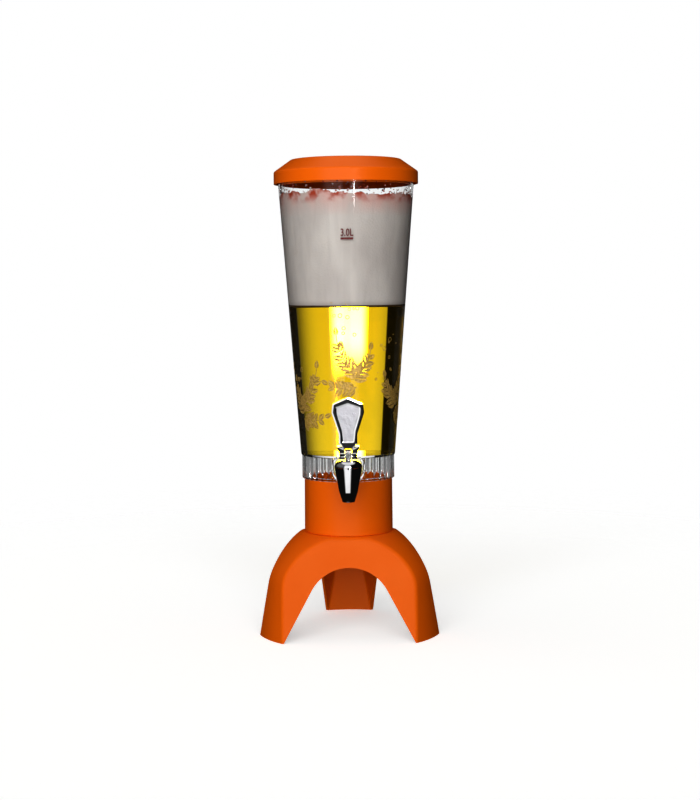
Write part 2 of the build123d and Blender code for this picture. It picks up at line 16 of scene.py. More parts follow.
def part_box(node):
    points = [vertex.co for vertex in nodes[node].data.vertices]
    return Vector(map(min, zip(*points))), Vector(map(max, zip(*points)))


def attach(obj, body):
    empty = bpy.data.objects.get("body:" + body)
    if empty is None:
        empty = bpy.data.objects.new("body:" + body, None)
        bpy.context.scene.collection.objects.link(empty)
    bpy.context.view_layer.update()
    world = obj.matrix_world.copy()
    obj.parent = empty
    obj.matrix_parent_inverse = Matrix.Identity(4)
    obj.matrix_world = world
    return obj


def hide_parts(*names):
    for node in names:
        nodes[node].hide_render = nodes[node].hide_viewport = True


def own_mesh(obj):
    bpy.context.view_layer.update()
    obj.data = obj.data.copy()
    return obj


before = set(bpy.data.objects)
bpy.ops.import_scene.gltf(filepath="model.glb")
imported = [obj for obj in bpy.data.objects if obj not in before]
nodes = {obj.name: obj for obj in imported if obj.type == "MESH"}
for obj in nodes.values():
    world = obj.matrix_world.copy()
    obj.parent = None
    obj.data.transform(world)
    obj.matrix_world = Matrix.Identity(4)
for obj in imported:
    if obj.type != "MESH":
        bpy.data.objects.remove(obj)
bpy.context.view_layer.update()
scene = bpy.context.scene

# %% [markdown]
# ## Places that several pieces share
# The vessel is a cone, so one rule gives its radius at any height. Every piece that lies on its wall,
# such as the print, or inside it, such as the drink, takes its radius from this rule. The sizes are read
# from the frame where a box can give them, so that the drink still fits if the vessel is changed.

# %% Sizes of the vessel
MM = 0.001
vessel_low, vessel_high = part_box("canister")
wall = 2.5 * MM
floor_thick = 3.0 * MM
rim_z = vessel_high.z
rim_radius = vessel_high.x
taper = 0.0765
vessel_foot_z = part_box("grip_ring")[1].z
floor_top_z = vessel_foot_z + floor_thick
washer_low, washer_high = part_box("outer_washer")
tap_z = washer_low.z + (washer_high.z - washer_low.z) / 2
boss_face_y = washer_high.y


def outer_radius(z):
    """Outside of the vessel's wall at a height."""
    return rim_radius - taper * (rim_z - z)


def inner_radius(z):
    """Inside of the vessel's wall at a height."""
    return outer_radius(z) - wall


beer_top_z = 379.5 * MM
foam_top_z = 507.0 * MM
print("vessel foot radius", round(outer_radius(vessel_foot_z) / MM, 2), "mm")

# %% [markdown]
# ## Helpers
# Hex colours are what a screen shows, and shaders want linear light, so one function turns them. One
# more function adds a node to any tree, a material's or a shape's: it sets the node's own properties,
# and each input either takes a value or is linked to a socket. That is all the plumbing this file needs.


# %% Helpers for colours, nodes and meshes
def linear(code, alpha=1.0):
    """A screen colour such as #f0620a as linear light."""
    parts = [int(code[i : i + 2], 16) / 255 for i in (1, 3, 5)]
    return (*[p / 12.92 if p < 0.04045 else ((p + 0.055) / 1.055) ** 2.4 for p in parts], alpha)


def add_node(tree, kind, inputs=None, **settings):
    """Add one node; inputs maps an input's name or number to a value or to a socket to link."""
    made = tree.nodes.new(kind)
    for name, value in settings.items():
        setattr(made, name, value)
    for name, value in (inputs or {}).items():
        if isinstance(value, bpy.types.NodeSocket):
            tree.links.new(value, made.inputs[name])
        else:
            made.inputs[name].default_value = value
    return made


def new_material(name):
    """An empty material, its node tree and its output node."""
    made = bpy.data.materials.new(name)
    made.use_nodes = True
    made.node_tree.nodes.clear()
    return made, made.node_tree, made.node_tree.nodes.new("ShaderNodeOutputMaterial")


def give_finish(material, *names):
    """Put one finish on CAD pieces."""
    for name in names:
        nodes[name].data.materials.clear()
        nodes[name].data.materials.append(material)
    print(f"{material.name} on {', '.join(names)}")


def make_piece(name, mesh, body, material, crease=35):
    """Put a mesh in the scene as a piece on a body; edges over crease degrees stay sharp."""
    piece = bpy.data.objects.new(name, mesh)
    scene.collection.objects.link(piece)
    mesh.materials.clear()
    mesh.materials.append(material)
    mesh.shade_smooth()
    mesh.set_sharp_from_angle(angle=radians(crease))
    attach(piece, body)
    print(f"{name}: {len(mesh.polygons)} faces on {body}")
    return piece


# %% [markdown]
# ## The camera
# The photograph was taken from 1.8 m with a short telephoto lens, a little above the foam line. The eye
# height came from how the lid and the feet curve. Half of the drop to the tower's middle is done by
# tilting the camera and half by shifting the lens, because a full tilt would pull the upright edges
# together, and a full shift would move the tower out of the other views.

# %% Camera
eye_distance = 1.813
eye_height = 0.412
lens_px = 1555.4
photo_width_px, photo_height_px = 700.0, 800.0
horizon_px = 277.5
axis_px = 347.2
shift_px = 62.0
sensor_mm = 36.0
camera_data = bpy.data.cameras.new("camera")
camera_data.sensor_width = sensor_mm
camera_data.lens = sensor_mm * lens_px / photo_height_px
camera = bpy.data.objects.new("camera", camera_data)
scene.collection.objects.link(camera)
drop = photo_height_px / 2 - horizon_px
tilt = atan2(drop - shift_px, lens_px)
camera.location = (0, -eye_distance, eye_height)
roll = radians(0.5)
camera.rotation_euler = Euler((pi / 2 - tilt, 0, 0), "XYZ")
camera.rotation_euler.rotate_axis("Z", -roll)
camera_data.shift_y = -shift_px / photo_height_px
camera_data.shift_x = (photo_width_px / 2 - axis_px) / photo_height_px
scene.camera = camera
print("lens", round(camera_data.lens, 2), "mm, tilt", round(tilt * 180 / pi, 2), "degrees")

# %% [markdown]
# ## The studio
# Clear plastic, beer and chrome show nothing but what is round them, so the light is built first. The
# sky colour is drawn by direction: a broad soft panel in front, a bright card behind, a large panel
# overhead, and darkness at the sides, which draws the dark edges of the drink. The card behind is
# brightest in the middle, where a lamp shines through it, and ends a little above the table. It shows
# only through clear pieces: it would bleach the tap's sides and the feet, as no card of its real size
# would. A set of lamps could do the same, but a panel in the sky has no edge on the floor and gives
# no noise in the glass. The camera itself sees plain white behind the tower.

# %% Directions in the sky
world = bpy.data.worlds.new("studio")
world.use_nodes = True
scene.world = world
sky = world.node_tree
sky.nodes.clear()
direction = add_node(sky, "ShaderNodeTexCoord").outputs["Generated"]
axes = add_node(sky, "ShaderNodeSeparateXYZ", {0: direction})
# Degrees to the right of the camera's side of the tower, and degrees above the horizon
towards = add_node(sky, "ShaderNodeMath", {0: axes.outputs["Y"], 1: -1.0}, operation="MULTIPLY").outputs[0]
front_turn = add_node(sky, "ShaderNodeMath", {0: axes.outputs["X"], 1: towards}, operation="ARCTAN2")
back_turn = add_node(sky, "ShaderNodeMath", {0: axes.outputs["X"], 1: axes.outputs["Y"]}, operation="ARCTAN2")
height_turn = add_node(sky, "ShaderNodeMath", {0: axes.outputs["Z"]}, operation="ARCSINE")
front_degrees = add_node(sky, "ShaderNodeMath", {0: front_turn.outputs[0]}, operation="DEGREES").outputs[0]
back_degrees = add_node(sky, "ShaderNodeMath", {0: back_turn.outputs[0]}, operation="DEGREES").outputs[0]
up_degrees = add_node(sky, "ShaderNodeMath", {0: height_turn.outputs[0]}, operation="DEGREES").outputs[0]


def step_up(value, start, end):
    """0 below start, 1 above end, smooth between."""
    return add_node(
        sky,
        "ShaderNodeMapRange",
        {"Value": value, "From Min": start, "From Max": end},
        interpolation_type="SMOOTHSTEP",
    ).outputs[0]


def product(*values):
    """All values multiplied."""
    result = values[0]
    for value in values[1:]:
        result = add_node(sky, "ShaderNodeMath", {0: result, 1: value}, operation="MULTIPLY").outputs[0]
    return result


def panel(turn, left, right, low, high, soft, light, soft_up=None):
    """Light from one soft panel between two turns and two heights, in degrees."""
    rise = soft if soft_up is None else soft_up
    return product(
        step_up(turn, left - soft, left + soft),
        step_up(turn, right + soft, right - soft),
        step_up(up_degrees, low - rise, low + rise),
        step_up(up_degrees, high + rise, high - rise),
        light,
    )


# %% Panels of light
paths = add_node(sky, "ShaderNodeLightPath").outputs
through = paths["Is Transmission Ray"]
# Six surfaces passed means that the light has come through the two walls and the drink
passed = {0: paths["Transmission Depth"], 1: 6.0, 2: 0.5}
deep = add_node(sky, "ShaderNodeMath", passed, operation="COMPARE").outputs[0]
middle = panel(back_degrees, -27, 26, -60, 60, 14, 0.85)
glow = add_node(sky, "ShaderNodeMath", {0: middle, 1: 0.16}, operation="ADD").outputs[0]
# The front light has a gap for the camera, which flat chrome mirrors as black
darker = panel(front_degrees, -6, 7, -24, -1, 1.5, 0.97)
camera_gap = add_node(sky, "ShaderNodeMath", {0: 1.0, 1: darker}, operation="SUBTRACT").outputs[0]
# Polished pieces show that light at half its strength, as in the photograph
duller = product(paths["Is Glossy Ray"], 0.5)
half_in_gloss = add_node(sky, "ShaderNodeMath", {0: 1.0, 1: duller}, operation="SUBTRACT").outputs[0]
above = step_up(up_degrees, 50, 62)
panels = {
    "front": product(panel(front_degrees, -36, 22, -34, 50, 8, 3.2), camera_gap, half_in_gloss),
    "strip": product(panel(front_degrees, 12.1, 15.1, -6.0, 30, 0.4, 36.0), paths["Is Glossy Ray"]),
    "left fill": panel(front_degrees, -125, -42, 14, 60, 12, 0.25),
    "card": product(panel(back_degrees, -23.9, 37.5, -5.0, 40, 0.7, 1.0), glow, through),
    "card low": product(panel(back_degrees, -60, 60, -14, -5.0, 3, 0.3), through),
    "table edge": product(panel(back_degrees, -7, 7, -10, -5.6, 2, 0.9, 0.5), through),
    "lamp behind": product(panel(back_degrees, -8.4, 6.4, 0.1, 16, 2.4, 90.0, 0.8), through, deep),
    "overhead": product(above, 0.5),
    "overhead in gloss": product(above, 0.75, paths["Is Glossy Ray"]),
}
total = 0.01  # the dark room's own light
for light in panels.values():
    total = add_node(sky, "ShaderNodeMath", {0: total, 1: light}, operation="ADD").outputs[0]
seen = add_node(sky, "ShaderNodeBackground", {"Color": (1, 1, 1, 1), "Strength": 1.0})
lit = add_node(sky, "ShaderNodeBackground", {"Color": (1, 1, 1, 1), "Strength": total})
shades = {0: paths["Is Camera Ray"], 1: lit.outputs[0], 2: seen.outputs[0]}
both = add_node(sky, "ShaderNodeMixShader", shades)
add_node(sky, "ShaderNodeOutputWorld", {"Surface": both.outputs[0]})
print("panels in the sky:", ", ".join(panels))

# %% [markdown]
# ## The floor
# A sheet of white paper on a light table, lit a little from below, that fades out before its edge, so
# no horizon shows behind the tower. A bent backdrop would do that too, but it would shut the card
# out. The sheet isn't seen in reflections or through the drink: there the dark studio shows, as it
# does when the set stands on a small white sheet in a dark room.

# %% Floor
floor_radius = 1.5
fade_from, fade_to = 0.35, 1.3
floor_mesh = bpy.data.meshes.new("floor")
grown = bmesh.new()
bmesh.ops.create_circle(grown, cap_ends=True, radius=floor_radius, segments=96)
grown.to_mesh(floor_mesh)
grown.free()
floor = bpy.data.objects.new("floor", floor_mesh)
scene.collection.objects.link(floor)
paper, tree, out = new_material("white_paper")
place = add_node(tree, "ShaderNodeTexCoord").outputs["Object"]
reach = add_node(tree, "ShaderNodeVectorMath", {0: place}, operation="LENGTH").outputs["Value"]
fade = add_node(
    tree,
    "ShaderNodeMapRange",
    {"Value": reach, "From Min": fade_from, "From Max": fade_to},
    interpolation_type="SMOOTHSTEP",
).outputs[0]
paper_white = add_node(tree, "ShaderNodeBsdfDiffuse", {"Color": linear("#f4f4f2")})
lit_below = add_node(tree, "ShaderNodeEmission", {"Color": linear("#ffffff"), "Strength": 0.54})
sheet = add_node(tree, "ShaderNodeAddShader", {0: paper_white.outputs[0], 1: lit_below.outputs[0]})
gone = add_node(tree, "ShaderNodeBsdfTransparent")
faded = add_node(tree, "ShaderNodeMixShader", {0: fade, 1: sheet.outputs[0], 2: gone.outputs[0]})
tree.links.new(faded.outputs[0], out.inputs["Surface"])
floor_mesh.materials.append(paper)
floor.visible_glossy = False
floor.visible_transmission = False
floor.visible_diffuse = False
print(f"floor {floor_radius} m in radius, faded out at {fade_to} m")

# %% [markdown]
# ## Moulded orange plastic
# Lid, neck and base are ABS. The lid came from a polished mould, so it shows soft clear reflections; the
# base and the neck have a fine spark-eroded grain, which spreads them. The grain of such a mould is
# about 0.2 mm, too fine for this view, so it is drawn at 0.9 mm and kept shallow. A slow drift in
# colour and gloss keeps the large faces from looking like paint on glass.


# %% Orange plastic
def moulded_plastic(name, colour, deep_colour, gloss, spread, grain_mm, grain_depth_mm, shine=0.5):
    """Moulded plastic: base roughness, how much it drifts, the mould's grain, and its shine."""
    drift_mm = 45
    made, tree, out = new_material(name)
    place = add_node(tree, "ShaderNodeTexCoord").outputs["Object"]
    drift = add_node(tree, "ShaderNodeTexNoise", {"Vector": place, "Scale": 1000 / drift_mm, "Detail": 3.0})
    grain = add_node(tree, "ShaderNodeTexNoise", {"Vector": place, "Scale": 1000 / grain_mm, "Detail": 2.0})
    tint = add_node(
        tree,
        "ShaderNodeMix",
        {"Factor": drift.outputs["Fac"], "A": linear(colour), "B": linear(deep_colour)},
        data_type="RGBA",
    )
    rough = add_node(
        tree,
        "ShaderNodeMapRange",
        {
            "Value": drift.outputs["Fac"],
            "From Min": 0.3,
            "From Max": 0.7,
            "To Min": gloss - spread,
            "To Max": gloss + spread,
        },
    )
    bump = add_node(
        tree,
        "ShaderNodeBump",
        {"Height": grain.outputs["Fac"], "Strength": 1.0, "Distance": grain_depth_mm * MM},
    )
    shader = add_node(
        tree,
        "ShaderNodeBsdfPrincipled",
        {
            "Base Color": tint.outputs["Result"],
            "Roughness": rough.outputs["Result"],
            "Normal": bump.outputs["Normal"],
            "IOR": 1.53,
            "Specular IOR Level": shine,
        },
    )
    tree.links.new(shader.outputs[0], out.inputs["Surface"])
    return made


grained_orange = moulded_plastic("abs_orange_grained", "#ef7106", "#ea6a04", 0.45, 0.05, 0.9, 0.035, 0.12)
polished_orange = moulded_plastic("abs_orange_polished", "#f07306", "#ec6c04", 0.34, 0.04, 6.0, 0.02, 0.16)
give_finish(grained_orange, "tripod_base", "neck_collar")
give_finish(polished_orange, "lid")

# %% [markdown]
# ## Clear plastic
# Vessel and grip ring are clear polycarbonate, moulded in polished steel. Its index is 1.585, but 1.5
# draws the drink's dark borders as wide as the photograph has them. What makes it look like plastic
# and not like glass is a slight waviness and very fine scratches. Light from lamps goes straight
# through it by a Light Path switch, because a path tracer can hardly find the way through a bent wall,
# and everything inside would turn dark and noisy. The photograph shows hardly any reflections on the
# wall but one thin line, as through a polarising filter, so a grey specular tint takes most of the
# mirror image away and leaves the grazing shine at the edges.


# %% Clear plastic
def let_lamps_through(tree, shader, colour=(1, 1, 1, 1)):
    """A shader that is plainly transparent to the rays that only carry lamp light."""
    passing = add_node(tree, "ShaderNodeBsdfTransparent", {"Color": colour})
    rays = add_node(tree, "ShaderNodeLightPath").outputs
    kinds = {0: rays["Is Shadow Ray"], 1: rays["Is Diffuse Ray"]}
    lighting = add_node(tree, "ShaderNodeMath", kinds, operation="MAXIMUM").outputs[0]
    shaders = {0: lighting, 1: shader.outputs[0], 2: passing.outputs[0]}
    return add_node(tree, "ShaderNodeMixShader", shaders).outputs[0]


def clear_plastic(name, tint, index, roughness, wave_mm, wave_depth_mm):
    """Clear moulded plastic that lets the light of lamps through."""
    made, tree, out = new_material(name)
    place = add_node(tree, "ShaderNodeTexCoord").outputs["Object"]
    wave = add_node(tree, "ShaderNodeTexNoise", {"Vector": place, "Scale": 1000 / wave_mm, "Detail": 1.0})
    bump = add_node(
        tree,
        "ShaderNodeBump",
        {"Height": wave.outputs["Fac"], "Strength": 1.0, "Distance": wave_depth_mm * MM},
    )
    scratch = add_node(
        tree,
        "ShaderNodeMapRange",
        {
            "Value": wave.outputs["Fac"],
            "From Min": 0.35,
            "From Max": 0.75,
            "To Min": roughness,
            "To Max": 2.5 * roughness,
        },
    )
    shader = add_node(
        tree,
        "ShaderNodeBsdfPrincipled",
        {
            "Base Color": linear(tint),
            "Specular Tint": (0.3, 0.3, 0.3, 1.0),
            "Roughness": scratch.outputs["Result"],
            "Normal": bump.outputs["Normal"],
            "IOR": index,
            "Transmission Weight": 1.0,
        },
    )
    tree.links.new(let_lamps_through(tree, shader, linear(tint)), out.inputs["Surface"])
    return made


vessel_clear = clear_plastic("polycarbonate_clear", "#fbfcfc", 1.5, 0.008, 40, 0.006)
give_finish(vessel_clear, "grip_ring")

# %% [markdown]
# ## The vessel
# A clear cone shows every facet, because each one bends the light its own way. The CAD mesh has about
# seventy facets round, so the vessel is made again with the same sizes and 192 steps: a turned body
# joined to the round sump that carries the tap, with the inside cut out of both. Booleans leave long
# thin faces whose blended normals would ripple, so the true normal of cone or cylinder is then
# written on every corner.


# %% Turned shapes
def turned(name, profile, steps=192):
    """A closed mesh turned from (radius, height) points, the first and the last on the axis."""
    grown = bmesh.new()
    rings = []
    for radius, height in profile:
        turns = [2 * pi * i / steps for i in range(steps)] if radius else [0]
        rings.append([grown.verts.new((radius * cos(t), radius * sin(t), height)) for t in turns])
    for low, high in zip(rings, rings[1:]):
        for i in range(steps):
            j = (i + 1) % steps
            corners = [low[i % len(low)], low[j % len(low)], high[j % len(high)], high[i % len(high)]]
            grown.faces.new(list(dict.fromkeys(corners)))
    bmesh.ops.recalc_face_normals(grown, faces=grown.faces)
    mesh = bpy.data.meshes.new(name)
    grown.to_mesh(mesh)
    grown.free()
    return mesh


def rod_into_vessel(name, radius, front, back, steps=96):
    """A round bar along the tap's inlet axis, from front to back."""
    mesh = turned(name, [(0, 0), (radius, 0), (radius, back - front), (0, back - front)], steps)
    mesh.transform(Matrix.Translation((0, front, tap_z)) @ Matrix.Rotation(-pi / 2, 4, "X"))
    return mesh


def combined(start, *steps):
    """One mesh from a start mesh and (operation, mesh) steps."""
    body = bpy.data.objects.new("body", start)
    scene.collection.objects.link(body)
    tools = []
    for operation, mesh in steps:
        tool = bpy.data.objects.new("tool", mesh)
        scene.collection.objects.link(tool)
        change = body.modifiers.new(operation, "BOOLEAN")
        change.operation = operation
        change.solver = "EXACT"
        change.object = tool
        tools.append(tool)
    made = bpy.data.meshes.new_from_object(body.evaluated_get(bpy.context.evaluated_depsgraph_get()))
    for each in (body, *tools):
        bpy.data.objects.remove(each)
    return made


def true_normals(mesh, rules, same_way=0.97):
    """Write a rule's normal on each corner whose point lies on its surface and faces its way."""
    corner = [c.vector.copy() for c in mesh.corner_normals]
    for face in mesh.polygons:
        for loop in face.loop_indices:
            point = mesh.vertices[mesh.loops[loop].vertex_index].co
            for on_surface, normal_at in rules:
                if on_surface(point):
                    normal = normal_at(point)
                    if normal.dot(face.normal) > same_way:
                        corner[loop] = normal
                        break
    mesh.normals_split_custom_set(corner)


# %% Vessel
sump_radius, sump_inner = 18.7 * MM, 16.2 * MM
sump_length, sump_back_wall = 36 * MM, 2.5 * MM
shank_hole = 8.2 * MM
foot_round, lip_round = 1.2 * MM, 0.95 * MM
cutter_extra = 5 * MM  # by which a cutting shape stands past what it cuts
foot_radius = outer_radius(vessel_foot_z)
lowest, highest = vessel_foot_z + 2 * MM, rim_z - lip_round
heights = [lowest + (highest - lowest) * k / 14 for k in range(15)]
quarter = [radians(a) for a in (0, 22, 45, 68, 90)]
lip = [(lip_round * (1 - cos(a)), rim_z - lip_round * (1 - sin(a))) for a in quarter[1:]]
outside = [(0, vessel_foot_z)]
outside += [
    (foot_radius - foot_round * (1 - sin(a)), vessel_foot_z + foot_round * (1 - cos(a))) for a in quarter
]
outside += [(outer_radius(z), z) for z in heights]
outside += [(outer_radius(rim_z) - inward, z) for inward, z in lip]
outside += [(0, rim_z)]
inside = [(0, floor_top_z)]
inside += [(inner_radius(z), z) for z in [floor_top_z] + heights[1:]]
inside += [(inner_radius(rim_z) + outward, z) for outward, z in lip]
inside += [(inner_radius(rim_z) + lip_round, rim_z + cutter_extra), (0, rim_z + cutter_extra)]
sump_front_y, sump_back_y = boss_face_y + floor_thick, boss_face_y + sump_length - sump_back_wall
hole_front_y, hole_back_y = boss_face_y - cutter_extra, boss_face_y + cutter_extra
vessel_mesh = combined(
    turned("vessel", outside),
    ("UNION", rod_into_vessel("sump_outside", sump_radius, boss_face_y, boss_face_y + sump_length)),
    ("DIFFERENCE", turned("inside", inside)),
    ("DIFFERENCE", rod_into_vessel("sump_inside", sump_inner, sump_front_y, sump_back_y)),
    ("DIFFERENCE", rod_into_vessel("shank_hole", shank_hole, hole_front_y, hole_back_y, 48)),
)
vessel = make_piece("vessel", vessel_mesh, "canister", vessel_clear)

# %% Its true normals
near_enough = 0.02 * MM


def on_wall(radius_at):
    """Whether a point lies on the cone with this radius at each height."""
    return lambda p: abs(sqrt(p.x**2 + p.y**2) - radius_at(p.z)) < near_enough


def wall_normal(way):
    """The cone's normal at a point, outward or, with -1, inward."""
    return lambda p: Vector((p.x, p.y, -taper * sqrt(p.x**2 + p.y**2))).normalized() * way


def on_sump(radius):
    """Whether a point lies on the round of the sump."""
    return lambda p: abs(sqrt(p.x**2 + (p.z - tap_z) ** 2) - radius) < near_enough


def sump_normal(way):
    """The sump's normal at a point, outward or, with -1, inward."""
    return lambda p: Vector((p.x, 0, p.z - tap_z)).normalized() * way


true_normals(
    vessel_mesh,
    [
        (on_wall(outer_radius), wall_normal(1)),
        (on_wall(inner_radius), wall_normal(-1)),
        (on_sump(sump_radius), sump_normal(1)),
        (on_sump(sump_inner), sump_normal(-1)),
    ],
)
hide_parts("canister")

# %% [markdown]
# ## Metals
# The tap and its lever are chrome plate on a casting: almost black and white, because it only mirrors
# the studio. The blank plate in the shield is satin, blasted before it was plated, so its reflections
# are wide and softly mottled. The parts inside are plain stainless and zinc-plated steel.


# %% Metals
def metal(name, colour, roughness, spread, patch_mm, bump_mm, bump_depth_mm):
    """A bare or plated metal with a patchy gloss and a faint relief."""
    made, tree, out = new_material(name)
    place = add_node(tree, "ShaderNodeTexCoord").outputs["Object"]
    patch = add_node(tree, "ShaderNodeTexNoise", {"Vector": place, "Scale": 1000 / patch_mm, "Detail": 4.0})
    relief = add_node(tree, "ShaderNodeTexNoise", {"Vector": place, "Scale": 1000 / bump_mm, "Detail": 2.0})
    rough = add_node(
        tree,
        "ShaderNodeMapRange",
        {
            "Value": patch.outputs["Fac"],
            "From Min": 0.3,
            "From Max": 0.7,
            "To Min": roughness,
            "To Max": roughness + spread,
        },
    )
    bump = add_node(
        tree,
        "ShaderNodeBump",
        {"Height": relief.outputs["Fac"], "Strength": 1.0, "Distance": bump_depth_mm * MM},
    )
    shader = add_node(
        tree,
        "ShaderNodeBsdfPrincipled",
        {
            "Base Color": linear(colour),
            "Metallic": 1.0,
            "Roughness": rough.outputs["Result"],
            "Normal": bump.outputs["Normal"],
        },
    )
    tree.links.new(shader.outputs[0], out.inputs["Surface"])
    return made


chrome = metal("chrome_plate", "#c9c9ca", 0.03, 0.05, 9, 5, 0.03)
satin_plate = metal("satin_chrome_blasted", "#acabaf", 0.27, 0.16, 5, 4, 0.3)
stainless = metal("stainless_turned", "#b4b4b2", 0.18, 0.1, 3, 0.6, 0.01)
zinc = metal("zinc_plated_steel", "#b9bab2", 0.3, 0.12, 2, 1.2, 0.02)
give_finish(chrome, "tap_body", "bonnet", "lever")
give_finish(satin_plate, "lever_plate")
give_finish(stainless, "valve_stem", "lever_pin", "valve_spring", "spring_washer")
give_finish(zinc, "neck_screws")

# %% [markdown]
# ## The valve's spring
# Wire of 1 mm in five and a half turns, inside the barrel. It gets 4 mm shorter as the lever is pulled.
# A stiff coil would cut through the rising cup. Here a copy of the coil takes its place, in the same
# shape. A helix from mesh code would be the same shape with more to go wrong.

# %% Spring
bpy.context.view_layer.update()
coil_mesh = nodes["valve_spring"].data.copy()
coil_mesh.transform(nodes["valve_spring"].matrix_world)
spring = make_piece("squeezed_spring", coil_mesh, "canister", stainless)
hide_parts("valve_spring")
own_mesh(spring)

# %% [markdown]
# ## Seals and the nut
# The washers and the valve's cup are translucent silicone, dull and slightly waxy, and the nut is white
# acetal. All of them only show through clear plastic and beer, but the tap can be taken off.

# %% Seals and nut
silicone = moulded_plastic("silicone_translucent", "#d9d6cd", "#cfccc2", 0.5, 0.05, 2.0, 0.03)
acetal = moulded_plastic("acetal_white", "#e8e7e0", "#e0ded6", 0.38, 0.05, 3.0, 0.02)
give_finish(silicone, "outer_washer", "inner_washer", "seat_cup", "bonnet_ring")
give_finish(acetal, "lock_nut")

# %% [markdown]
# ## The beer
# Lager is a clear liquid of index 1.34 that takes more blue than green out of the light on every
# centimetre, so its depth has to colour it and not its surface. The body fills the vessel and the sump
# behind the tap, and reaches 0.15 mm into the plastic wall: light then passes from plastic to beer
# with no film of air between, which would shine like silver.

# %% Beer
into_wall = 0.15 * MM
low_z = floor_top_z - into_wall
levels = [low_z + (beer_top_z - low_z) * k / 10 for k in range(11)]
beer_mesh = combined(
    turned("beer", [(0, low_z)] + [(inner_radius(z) + into_wall, z) for z in levels] + [(0, beer_top_z)]),
    (
        "UNION",
        rod_into_vessel(
            "beer_in_sump", sump_inner + into_wall, sump_front_y - into_wall, sump_back_y + into_wall
        ),
    ),
)

lager, tree, out = new_material("lager")
surface = add_node(
    tree,
    "ShaderNodeBsdfPrincipled",
    {"Base Color": (1, 1, 1, 1), "Roughness": 0.0, "IOR": 1.34, "Transmission Weight": 1.0},
)
amber = {"Color": (0.99, 0.91, 0.2, 1), "Density": 45.0}
depth_colour = add_node(tree, "ShaderNodeVolumeAbsorption", amber)
tree.links.new(let_lamps_through(tree, surface), out.inputs["Surface"])
tree.links.new(depth_colour.outputs[0], out.inputs["Volume"])
make_piece("beer", beer_mesh, "canister", lager)
true_normals(
    beer_mesh,
    [
        (on_wall(lambda z: inner_radius(z) + into_wall), wall_normal(1)),
        (on_sump(sump_inner + into_wall), sump_normal(1)),
    ],
)

# %% [markdown]
# ## The foam
# The head stands on the beer and ends in a torn edge that climbs the wall in places, with a sunken
# middle. A grid of rings with a height from smooth noise gives that shape. Sculpting it by hand would
# not come out the same each time, and a displaced disc would not close to a solid.

# %% Foam
foam_low_z = beer_top_z - 0.2 * MM
sunk_middle = 9 * MM
steps, wall_rings, top_rings = 360, 44, 40


def foam_edge(angle):
    """Height of the foam's torn edge round the wall."""
    spot = Vector((cos(angle), sin(angle), 0))
    slow = noise.noise(spot * 1.9 + Vector((3.1, 0.4, 7.7)))
    fast = noise.noise(spot * 7.0 + Vector((1.0, 5.0, 2.0)))
    fine = noise.noise(spot * 26.0)
    torn = noise.noise(spot * 70.0)
    return foam_top_z + (6.5 * slow + 3.4 * fast + 1.8 * fine + 0.9 * torn) * MM


grown = bmesh.new()
rings = []
for k in range(wall_rings + 1):
    share = k / wall_rings
    ring = []
    for i in range(steps):
        angle = 2 * pi * i / steps
        top = foam_edge(angle)
        z = foam_low_z + (top - foam_low_z) * share
        radius = inner_radius(z) + 0.1 * MM
        ring.append(grown.verts.new((radius * cos(angle), radius * sin(angle), z)))
    rings.append(ring)
for k in range(1, top_rings):
    share = 1 - k / top_rings
    ring = []
    for i in range(steps):
        angle = 2 * pi * i / steps
        edge = foam_edge(angle)
        radius = inner_radius(edge) * share
        spot = Vector((radius * cos(angle), radius * sin(angle), 0))
        sunk = foam_top_z - sunk_middle * (1 - share**3)
        lumps = 3.5 * MM * noise.noise(spot * 55) + 1.4 * MM * noise.noise(spot * 160)
        blend = min(1, (1 - share) * 9)
        z = edge * (1 - blend) + (sunk + lumps) * blend
        ring.append(grown.verts.new((spot.x, spot.y, z)))
    rings.append(ring)
for low, high in zip(rings, rings[1:]):
    for i in range(steps):
        j = (i + 1) % steps
        grown.faces.new((low[i], low[j], high[j], high[i]))
top = grown.verts.new((0, 0, foam_top_z - sunk_middle))
bottom = grown.verts.new((0, 0, foam_low_z))
for i in range(steps):
    j = (i + 1) % steps
    grown.faces.new((rings[-1][i], rings[-1][j], top))
    grown.faces.new((rings[0][j], rings[0][i], bottom))
bmesh.ops.recalc_face_normals(grown, faces=grown.faces)
foam_mesh = bpy.data.meshes.new("foam")
grown.to_mesh(foam_mesh)
grown.free()
print(f"foam edge at {foam_edge(-pi / 2) / MM:.1f} mm in front")

# %% [markdown]
# ## The foam's finish
# Foam is millions of bubbles, so it acts like a dense white cloud that lets light in a little way. It
# is slightly grey in the shade and dark where its foot meets the beer. Near the top, a painted
# reflection of the orange lid is laid into its colour: a pink blush and red patches. A real cloud of
# scattering would be right but slow and noisy, so it is a surface with light spread under it, with
# those tints laid over one another. The bubbles that show are a cell pattern in its relief.

# %% Foam's finish
foam_white, tree, out = new_material("beer_foam")
place = add_node(tree, "ShaderNodeTexCoord").outputs["Object"]
height = add_node(tree, "ShaderNodeSeparateXYZ", {0: place}).outputs["Z"]
# Patterns to a metre: clouds of 33 mm, running streaks of 6 mm, patches of 13 mm, bubbles of 2.4 mm
patterns = []
for scale, upright, detail in ((30.0, 0.5, 5.0), (170.0, 0.08, 2.0), (75.0, 1.0, 4.0)):
    drawn_out = add_node(tree, "ShaderNodeMapping", {"Vector": place, "Scale": (1, 1, upright)}).outputs[0]
    inputs = {"Vector": drawn_out, "Scale": scale, "Detail": detail}
    patterns.append(add_node(tree, "ShaderNodeTexNoise", inputs).outputs["Fac"])
clouds, streaks, patches = patterns
cells = add_node(tree, "ShaderNodeTexVoronoi", {"Vector": place, "Scale": 420.0})
